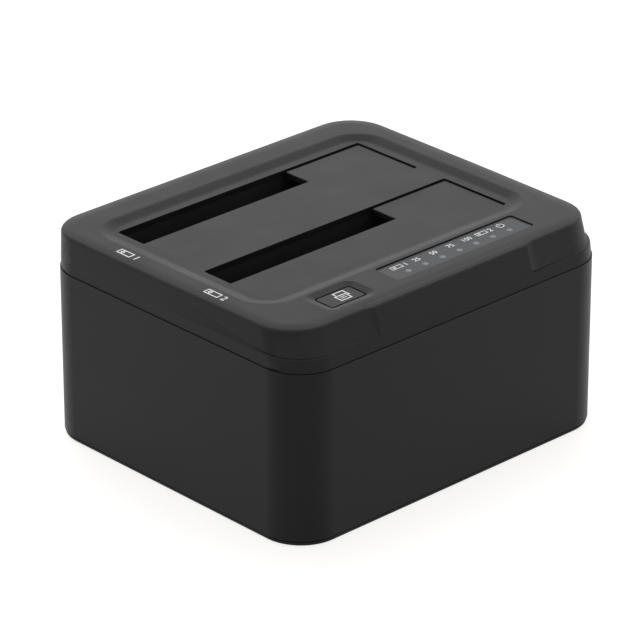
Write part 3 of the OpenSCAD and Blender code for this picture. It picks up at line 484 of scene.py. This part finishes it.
def arc(centre, radius, start, end, steps):
    """Points along an arc, with angles in degrees."""
    angles = [math.radians(start + (end - start) * k / steps) for k in range(steps + 1)]
    return [(centre[0] + radius * math.cos(a), centre[1] + radius * math.sin(a)) for a in angles]


def laid(at, across, points):
    """Points of a drawing, with its middle at a place and its reading direction across."""
    across = Vector(across)
    up = Vector((-across.y, across.x))
    return [Vector(at) + across * u + up * v for u, v in points]


def figures(bm, label, height, at, across, thick, bold):
    """Adds figures in ink: their middle is at a place and their reading direction is across."""
    curve = bpy.data.curves.new("figures", "FONT")
    curve.body = label
    curve.align_x = "CENTER"
    curve.align_y = "CENTER"
    curve.resolution_u = 4
    curve.offset = bold
    curve.extrude = thick / 2
    holder = bpy.data.objects.new("figures", curve)
    bpy.context.scene.collection.objects.link(holder)
    bpy.context.view_layer.update()
    shape = holder.evaluated_get(bpy.context.evaluated_depsgraph_get())
    mesh = bpy.data.meshes.new_from_object(shape)
    corners = [vert.co.copy() for vert in mesh.vertices]
    bottom, top = (f(c.y for c in corners) for f in (min, max))
    left, right = (f(c.x for c in corners) for f in (min, max))
    mid_x, mid_y = (left + right) / 2, (bottom + top) / 2
    scale = height / (top - bottom)
    drawn = [((c.x - mid_x) * scale, (c.y - mid_y) * scale) for c in corners]
    for vert, corner, flat in zip(mesh.vertices, corners, laid(at, across, drawn)):
        vert.co = (*flat, math.copysign(thick / 2, corner.z))
    bm.from_mesh(mesh)
    bpy.data.objects.remove(holder)
    bpy.data.curves.remove(curve)
    bpy.data.meshes.remove(mesh)


def bay_sign(bm, bay, height, at, across, thick, line, bold):
    """Adds a drive's outline with its disk, and the bay's number beside it."""
    length, gap, digit_w = 2.3 * height, 0.45 * height, 0.6 * height
    disk_r, disk_shift = 0.2 * height, 0.2 * length
    middle = -(gap + digit_w) / 2
    u, v = (length - line) / 2, (height - line) / 2
    case = [(middle - u, -v), (middle + u, -v), (middle + u, v), (middle - u, v)]
    stroke(bm, laid(at, across, case), line, thick, closed=True)
    disk = arc((middle - disk_shift, 0), disk_r, start=0, end=330, steps=11)
    stroke(bm, laid(at, across, disk), line, thick, closed=True)
    number_at, = laid(at, across, [((length + gap) / 2, 0)])
    figures(bm, str(bay), height, number_at, across, thick, bold)


def print_on(bm, name, support, body, slot, facet):
    """New piece of ink: what is drawn about zero height is laid on the top of another piece."""
    long_edges = [edge for edge in bm.edges if edge.calc_length() > facet]
    bmesh.ops.subdivide_edges(bm, edges=long_edges, cuts=3, use_grid_fill=True)
    bmesh.ops.recalc_face_normals(bm, faces=bm.faces)
    ground = bmesh.new()
    ground.from_mesh(bpy.data.objects[support].data)
    tree = BVHTree.FromBMesh(ground)
    ground.free()
    above = CAD_BOX[1][2] + MM
    for vert in bm.verts:
        place, _, _, _ = tree.ray_cast((vert.co.x, vert.co.y, above), (0, 0, -1))
        vert.co.z += place.z
    add_piece(name, bm, body, slot, "mark_ink")


def wire_tube(bm, points, radius, sides):
    """Adds a round wire with closed ends along points."""
    rings = []
    across = Vector((1, 0, 0))
    turns = [2 * math.pi * s / sides for s in range(sides)]
    for k, point in enumerate(points):
        way = (points[min(k + 1, len(points) - 1)] - points[max(k - 1, 0)]).normalized()
        across = (across - way * across.dot(way)).normalized()
        up = way.cross(across)
        spokes = [radius * (math.cos(t) * across + math.sin(t) * up) for t in turns]
        rings.append([bm.verts.new(point + spoke) for spoke in spokes])
    for here, there in zip(rings, rings[1:]):
        for s in range(sides):
            bm.faces.new((here[s], here[(s + 1) % sides], there[(s + 1) % sides], there[s]))
    bm.faces.new(reversed(rings[0]))
    bm.faces.new(rings[-1])


# Operators


class DOCK_OT_finishes(bpy.types.Operator):
    """Makes a material for each slot of the record, for the wells and for the printed marks; the
    wells' material is a lighter copy of the shell plastic, as painted light inside the slots
    """

    bl_idname = "dock.finishes"
    bl_label = "Finishes"

    def execute(self, context):
        finish = context.scene.dock_finish
        grain, rough, gloss = finish.grain, finish.grain_rough, finish.gloss
        for name, colour, roughness, sheen, relief, seed in (
                ("shell_plastic", finish.shell, rough, gloss, 0.25, 1.0),
                # Painted light: the wells' material is the shell plastic with a lighter colour
                ("well_painted_light", finish.well, 0.5, gloss, 0.25, 1.5),
                ("flap_plastic", finish.flap, rough, gloss, 0.22, 2.0),
                ("window_plastic", finish.window, 0.30, gloss, 0.08, 3.0),
                ("light_plastic", finish.light, 0.38, 0.4, 0.05, 4.0),
                ("socket_plastic", finish.shell, 0.45, 0.4, 0.15, 5.0),
                ("mark_ink", finish.ink, 0.55, 0.3, 0.12, 7.0)):
            moulded(name, colour, roughness, sheen, grain, relief, seed)
        moulded("foot_rubber", finish.rubber, rough=0.75, gloss=0.2, grain=2 * grain, relief=0.45,
                seed=6.0)
        metal("steel", finish.steel, rough=0.30, streak=0.8 * MM, seed=8.0)
        metal("contact_metal", finish.gold, rough=0.24, streak=0.5 * MM, seed=9.0)
        metal("can_metal", finish.tin, rough=0.34, streak=1.2 * MM, seed=10.0)
        lacquered_board("circuit_board", finish.board)
        ribbed_ribbon("ribbon", finish.ribbon)
        return {"FINISHED"}


class DOCK_OT_cover(bpy.types.Operator):
    """Rounds the cover: its tray, slots, nose, dish and openings"""

    bl_idname = "dock.cover"
    bl_label = "Cover"

    def execute(self, context):
        edges = context.scene.dock_edges
        low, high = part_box("top_cover")
        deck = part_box("flap_1")[1].z
        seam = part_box("lower_housing")[1].z
        key_low, key_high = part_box("clone_button")
        flap_front, flap_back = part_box("flap_2")[0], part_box("flap_1")[1]
        dish_w, tray_w = 4 * MM, 8 * MM
        nose_x, nose_d, nose_foot = 36 * MM, 5 * MM, 3 * MM
        deck_t, rim_h = 1 * MM, 1 * MM

        def by_key(edge):
            mid = edge_mid(edge)
            return (is_level(edge) and mid.z > deck
                    and key_low.x - dish_w < mid.x < key_high.x + dish_w
                    and key_low.y - dish_w < mid.y < key_high.y + dish_w)

        def on_nose(edge):
            mid = edge_mid(edge)
            return (not is_level(edge) and mid.z > seam + nose_foot
                    and abs(mid.x) < nose_x and mid.y < low.y + nose_d)

        def in_tray(edge):
            mid = edge_mid(edge)
            return (is_level(edge) and mid.z > deck and abs(mid.x) < flap_back.x + tray_w
                    and flap_front.y - tray_w < mid.y < flap_back.y + tray_w)

        def at_deck(edge):
            return is_level(edge) and edge_mid(edge).z > deck - deck_t and edge.is_convex

        def in_slot(edge):
            return at_deck(edge) and edge_mid(edge).z < high.z - rim_h

        soft_copy("top_cover", "cover_shell", "shell_plastic", [
            (turned(TRAY_SLOPE, in_tray), edges.tray),
            (turned(DISH_SLOPE, by_key), edges.dish),
            (turned(NOSE_END, on_nose), edges.nose),
            (turned(SQUARE, in_slot), edges.slot),
            (turned(SQUARE, at_deck), edges.opening),
        ])
        return {"FINISHED"}


class DOCK_OT_housing(bpy.types.Operator):
    """Rounds the lower housing, the base plate and the wells"""

    bl_idname = "dock.housing"
    bl_label = "Housing"

    def execute(self, context):
        edges = context.scene.dock_edges
        low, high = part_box("lower_housing")
        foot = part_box("base_plate")[0].z
        margin = 1 * MM

        def rims_panel(edge):
            mid = edge_mid(edge)
            return (edge.is_convex and mid.y > high.y - SKIN
                    and low.z + margin < mid.z < high.z - margin)

        def is_band(face):
            heights = [vert.co.z for vert in face.verts]
            below_walls = low.z - 2 * edges.gap < max(heights) < low.z + NEAR
            return min(heights) < foot + NEAR and below_walls

        def on_band(edge):
            return rims_body(edge) and any(map(is_band, edge.link_faces))

        def over_band(edge):
            return edge_mid(edge).z > low.z - NEAR and on_band(edge)

        def under_band(edge):
            return edge_mid(edge).z < foot + NEAR and on_band(edge)

        soft_copy("lower_housing", "housing_shell", "shell_plastic", [
            (turned(SQUARE, rims_panel), edges.wall),
        ])
        soft_copy("base_plate", "base_shell", "shell_plastic", [
            (turned(SQUARE, over_band), edges.gap, NOTCH),
            (turned(SQUARE, under_band), edges.foot),
        ])
        # The wells get the lighter copy of the shell plastic: painted light inside the slots
        for bay in BAYS:
            soft_copy(f"bay_well_{bay}", f"well_{bay}", "shell_plastic",
                      [(turned(WELL), edges.wall)], "well_painted_light")
        return {"FINISHED"}


class DOCK_OT_flaps(bpy.types.Operator):
    """Rounds the two flaps"""

    bl_idname = "dock.flaps"
    bl_label = "Flaps"

    def execute(self, context):
        edges = context.scene.dock_edges
        for bay in BAYS:
            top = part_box(f"flap_{bay}")[1].z

            def on_top(edge, top=top):
                return edge_mid(edge).z > top - SKIN

            soft_copy(f"flap_{bay}", f"flap_panel_{bay}", "flap_plastic", [
                (turned(SQUARE, on_top), edges.flap),
                (turned(SQUARE), edges.fine),
            ])
        return {"FINISHED"}


class DOCK_OT_springs(bpy.types.Operator):
    """Winds the springs that hold the flaps shut"""

    bl_idname = "dock.springs"
    bl_label = "Springs"

    wire: millimetres("Wire", 0.5, "Diameter of the wire")
    coil: millimetres("Coil", 2.3, "Radius of the coil at the middle of the wire")
    pitch: millimetres("Pitch", 1.0, "Distance between neighbouring turns")
    turns: IntProperty(name="Turns", description="Whole turns of the coil", default=4, min=1)
    deck_leg: millimetres("Deck leg", 5.0, "Reach of the leg below the deck")
    flap_leg: millimetres("Flap leg", 8.1, "Reach of the leg below the flap")
    flap_rise: millimetres("Flap rise", 1.9, "Height of the flap leg's end above the hinge")

    def lean(self, end):
        """Angle between a leg's end and the place where the leg leaves the coil."""
        return math.acos(self.coil / math.hypot(*end))

    def execute(self, context):
        for bay in BAYS:
            node = f"flap_spring_{bay}"
            joint = next(j for j in frame["joints"] if j["name"] == f"flap_{bay}_hinge")
            hinge = Vector(joint["pos_m"])
            start_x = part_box(node)[0].x + self.wire / 2
            deck_end = (-self.deck_leg, self.coil)
            flap_end = (self.flap_leg, self.flap_rise)
            leave_deck = math.atan2(deck_end[1], deck_end[0]) + self.lean(deck_end)
            leave_flap = math.atan2(flap_end[1], flap_end[0]) - self.lean(flap_end)
            sweep = leave_flap - leave_deck + 2 * math.pi * (self.turns + 1)
            length = self.pitch * sweep / (2 * math.pi)
            steps = COIL_STEPS * (self.turns + 1)
            points = [Vector((start_x, *deck_end))]
            for k in range(steps + 1):
                angle = leave_deck + sweep * k / steps
                points.append(Vector((start_x + length * k / steps, self.coil * math.cos(angle),
                                      self.coil * math.sin(angle))))
            points.append(Vector((start_x + length, *flap_end)))
            middle = Vector((0, hinge.y, hinge.z))
            bm = bmesh.new()
            wire_tube(bm, [point + middle for point in points], self.wire / 2, WIRE_SIDES)
            bmesh.ops.recalc_face_normals(bm, faces=bm.faces)
            piece = add_piece(f"spring_coil_{bay}", bm, None, "steel")
            even_shading(piece)
            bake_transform(piece)
            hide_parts(node)
        return {"FINISHED"}


class DOCK_OT_panel(bpy.types.Operator):
    """Rounds the indicator window, its lights and the button"""

    bl_idname = "dock.panel"
    bl_label = "Front Panel"

    def execute(self, context):
        edges = context.scene.dock_edges
        corner = turned(SQUARE)
        soft_copy("led_window", "window_strip", "window_plastic", [(corner, edges.fine)])
        soft_copy("light_pipes", "light_row", "light_plastic", [(corner, edges.fine)])
        soft_copy("clone_button", "button_cap", "flap_plastic", [(corner, edges.key)])
        return {"FINISHED"}


class DOCK_OT_rear(bpy.types.Operator):
    """Rounds the connectors at the back and the feet"""

    bl_idname = "dock.rear"
    bl_label = "Rear"

    def execute(self, context):
        edges = context.scene.dock_edges
        corner = turned(FITTING)
        for node, name, slot in (
                ("usb_shell", "data_shell", "steel"),
                ("usb_tongue", "data_tongue", "socket_plastic"),
                ("dc_jack", "inlet", "socket_plastic"),
                ("dc_pin", "inlet_pin", "steel"),
                ("power_switch", "switch_frame", "socket_plastic"),
                ("power_rocker", "switch_rocker", "shell_plastic")):
            soft_copy(node, name, slot, [(corner, edges.fine)])
        soft_copy("rubber_feet", "feet", "foot_rubber", [(corner, edges.wall)])
        return {"FINISHED"}


class DOCK_OT_inside(bpy.types.Operator):
    """Finishes the pieces inside the housing"""

    bl_idname = "dock.inside"
    bl_label = "Inside"

    def execute(self, context):
        finishes = {
            "steel": ["flap_pin_1", "flap_pin_2", "indicator_screws", "well_screws", "board_screws",
                      "base_screws"],
            "circuit_board": ["main_board", "indicator_board"],
            "socket_plastic": ["tact_plunger", "board_chips", "ribbon_headers", "sata_socket_1",
                               "sata_socket_2"],
            "contact_metal": ["sata_contacts_1", "sata_contacts_2"],
            "can_metal": ["tact_switch", "indicator_leds", "board_capacitors"],
            "ribbon": ["ribbon_cable"],
        }
        for slot, nodes in finishes.items():
            for node in nodes:
                dress(node, slot)
        return {"FINISHED"}


class DOCK_OT_marks(bpy.types.Operator):
    """Prints the bay numbers, the window's scale and the button's pictogram"""

    bl_idname = "dock.marks"
    bl_label = "Marks"

    def execute(self, context):
        marks = context.scene.dock_marks
        self.print_rim(marks)
        self.print_window(marks)
        self.print_button(marks)
        return {"FINISHED"}

    def print_rim(self, marks):
        """Bay signs on the left rim, read from the left side."""
        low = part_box("top_cover")[0]
        bm = bmesh.new()
        for bay in BAYS:
            flap_low, flap_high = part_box(f"flap_{bay}")
            at = (low.x + marks.rim_x, (flap_low.y + flap_high.y) / 2)
            bay_sign(bm, bay, marks.rim_digit, at, (0, -1), marks.ink_t, marks.stroke, marks.bold)
        print_on(bm, "rim_marks", "cover_shell", HOUSING, "shell_plastic", marks.facet)

    def print_window(self, marks):
        """Bay signs and a scale of numbers above the lights, with a power sign above the last."""
        across = (1, 0)
        ink, line, height, bold = marks.ink_t, marks.strip_stroke, marks.strip_digit, marks.bold
        lights_low, lights_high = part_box("light_pipes")
        row = (lights_low.y + lights_high.y) / 2 + marks.strip_y
        board_low, board_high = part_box("indicator_leds")
        first = board_low.x + marks.light_w / 2
        scale = ("25", "50", "75", "100")
        count = len(scale) + len(BAYS)
        pitch = (board_high.x - board_low.x - marks.light_w) / count
        places = [(first + k * pitch, row) for k in range(count + 1)]
        bm = bmesh.new()
        for number, at in zip(scale, places[1:]):
            figures(bm, number, height, at, across, ink, bold)
        for bay, at in zip(BAYS, (places[0], places[-2])):
            bay_sign(bm, bay, height, at, across, ink, line, bold)
        x, y = places[-1]
        stroke(bm, arc((x, y), marks.power_r, start=125, end=415, steps=20), line, ink)
        bar_ends = (0.1, 1.25)
        stroke(bm, [(x, y + end * marks.power_r) for end in bar_ends], line, ink)
        print_on(bm, "window_marks", "window_strip", HOUSING, "window_plastic", marks.facet)

    def print_button(self, marks):
        """Two sheets, one partly behind the other, with lines on the front one."""
        low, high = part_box("clone_button")
        mid = (low + high) / 2
        ink, line = marks.ink_t, marks.stroke
        w, d = marks.sheet_w, marks.sheet_d
        x0 = mid.x + marks.sheet_mid[0] - (w + marks.sheet_x) / 2
        y0 = mid.y + marks.sheet_mid[1] - (d + marks.sheet_y) / 2
        x1, y1 = x0 + marks.sheet_x, y0 + marks.sheet_y
        bm = bmesh.new()
        front = [(x0, y0), (x0 + w, y0), (x0 + w, y0 + d), (x0, y0 + d)]
        stroke(bm, front, line, ink, closed=True)
        back = [(x1, y0 + d + line), (x1, y1 + d), (x1 + w, y1 + d), (x1 + w, y1),
                (x0 + w + line, y1)]
        stroke(bm, back, line, ink)
        row_left, row_right, row_line = x0 + 0.22 * w, x0 + 0.78 * w, 0.8 * line
        for part in (0.38, 0.68):
            row = y0 + part * d
            stroke(bm, [(row_left, row), (row_right, row)], row_line, ink)
        print_on(bm, "button_mark", "button_cap", PRESS_KEY, "flap_plastic", marks.facet)


class DOCK_OT_stage(bpy.types.Operator):
    """Sets the floor, the surroundings, the lamp and the camera"""

    bl_idname = "dock.stage"
    bl_label = "Stage"

    def execute(self, context):
        scene = context.scene
        scene.view_settings.view_transform = "Standard"
        self.lay_floor(scene, scene.dock_stage)
        self.light_world(scene, scene.dock_stage)
        self.hang_lamp(scene, scene.dock_stage)
        self.place_camera(scene, scene.dock_stage)
        return {"FINISHED"}

    @staticmethod
    def seen_directly(nodes, links):
        """One for rays from the camera, from gloss and through glass, and zero for the others."""
        path = nodes.new("ShaderNodeLightPath")
        seen = path.outputs["Is Camera Ray"]
        for other in ("Is Glossy Ray", "Is Transmission Ray"):
            both = nodes.new("ShaderNodeMath")
            both.operation = "MAXIMUM"
            links.new(seen, both.inputs[0])
            links.new(path.outputs[other], both.inputs[1])
            seen = both.outputs["Value"]
        return seen

    def lay_floor(self, scene, stage):
        """Floor that keeps the shadow, with a white glow that only direct looks and gloss see."""
        bm = bmesh.new()
        bmesh.ops.create_grid(bm, x_segments=1, y_segments=1, size=stage.floor_w / 2)
        mesh = bpy.data.meshes.new("floor")
        bm.to_mesh(mesh)
        bm.free()
        floor = bpy.data.objects.new("floor", mesh)
        scene.collection.objects.link(floor)
        made = bpy.data.materials.new("floor_white")
        made.use_nodes = True
        nodes, links = made.node_tree.nodes, made.node_tree.links
        nodes.clear()
        output = nodes.new("ShaderNodeOutputMaterial")
        matt = nodes.new("ShaderNodeBsdfDiffuse")
        matt.inputs["Color"].default_value = opaque(stage.floor)
        glow = nodes.new("ShaderNodeEmission")
        glow.inputs["Color"].default_value = opaque(stage.glow)
        level = nodes.new("ShaderNodeMath")
        level.operation = "MULTIPLY"
        level.inputs[1].default_value = stage.glow_level
        links.new(self.seen_directly(nodes, links), level.inputs[0])
        links.new(level.outputs["Value"], glow.inputs["Strength"])
        joined = nodes.new("ShaderNodeAddShader")
        links.new(matt.outputs["BSDF"], joined.inputs[0])
        links.new(glow.outputs["Emission"], joined.inputs[1])
        links.new(joined.outputs["Shader"], output.inputs["Surface"])
        mesh.materials.append(made)

    def light_world(self, scene, stage):
        """White surroundings that light the dock at a lower strength than they show."""
        world = bpy.data.worlds.new("white_studio")
        world.use_nodes = True
        nodes, links = world.node_tree.nodes, world.node_tree.links
        background = nodes["Background"]
        background.inputs["Color"].default_value = (1.0, 1.0, 1.0, 1.0)
        strength = nodes.new("ShaderNodeMapRange")
        strength.inputs["To Min"].default_value = stage.fill
        strength.inputs["To Max"].default_value = stage.backdrop
        links.new(self.seen_directly(nodes, links), strength.inputs["Value"])
        links.new(strength.outputs["Result"], background.inputs["Strength"])
        scene.world = world

    def hang_lamp(self, scene, stage):
        """One wide soft lamp above the back right corner."""
        data = bpy.data.lights.new("key_lamp", "AREA")
        data.shape = "SQUARE"
        data.size = stage.key_w
        data.energy = stage.key_power
        lamp = bpy.data.objects.new("key_lamp", data)
        lamp.location = (stage.key_x, stage.key_y, stage.key_z)
        lamp.rotation_euler = (-lamp.location).to_track_quat("-Z", "Y").to_euler()
        lamp.visible_glossy = False
        scene.collection.objects.link(lamp)

    def place_camera(self, scene, stage):
        """Camera at the photograph's viewing angle."""
        aim = Vector((0.0, stage.aim_y, stage.aim_z))
        level = math.cos(stage.elevation)
        back = Vector((math.sin(stage.azimuth) * level, -math.cos(stage.azimuth) * level,
                       math.sin(stage.elevation)))
        data = bpy.data.cameras.new("camera")
        data.sensor_fit = "HORIZONTAL"
        data.sensor_width = SENSOR_W
        data.lens = stage.lens
        data.shift_x = stage.shift
        data.clip_end = VIEW_DEPTH
        camera = bpy.data.objects.new("camera", data)
        camera.location = aim + back * stage.distance
        camera.rotation_euler = (-back).to_track_quat("-Z", "Y").to_euler()
        scene.collection.objects.link(camera)
        scene.camera = camera


GROUPS = {"dock_edges": DockEdges, "dock_finish": DockFinish, "dock_marks": DockMarks,
          "dock_stage": DockStage}
OPERATORS = (DOCK_OT_finishes, DOCK_OT_cover, DOCK_OT_housing, DOCK_OT_flaps, DOCK_OT_springs,
             DOCK_OT_panel, DOCK_OT_rear, DOCK_OT_inside, DOCK_OT_marks, DOCK_OT_stage)


class DOCK_PT_sidebar(bpy.types.Panel):
    """Lists the steps that make the dock's looks, and their settings"""

    bl_idname = "DOCK_PT_sidebar"
    bl_label = "Drive Dock"
    bl_space_type = "VIEW_3D"
    bl_region_type = "UI"
    bl_category = "Drive Dock"

    def draw(self, context):
        for step in OPERATORS:
            self.layout.operator(step.bl_idname)
        for group_name in GROUPS:
            group = getattr(context.scene, group_name)
            box = self.layout.box()
            for name in group.bl_rna.properties.keys():
                if name not in {"rna_type", "name"}:
                    box.prop(group, name)


CLASSES = (*GROUPS.values(), *OPERATORS, DOCK_PT_sidebar)


def register():
    for made in CLASSES:
        bpy.utils.register_class(made)
    for name, group in GROUPS.items():
        setattr(bpy.types.Scene, name, PointerProperty(type=group))


def unregister():
    for name in GROUPS:
        delattr(bpy.types.Scene, name)
    for made in reversed(CLASSES):
        bpy.utils.unregister_class(made)


def main():
    register()
    bpy.ops.dock.finishes()
    bpy.ops.dock.cover()
    bpy.ops.dock.housing()
    bpy.ops.dock.flaps()
    bpy.ops.dock.springs()
    bpy.ops.dock.panel()
    bpy.ops.dock.rear()
    bpy.ops.dock.inside()
    bpy.ops.dock.marks()
    bpy.ops.dock.stage()


if __name__ == "__main__":
    main()
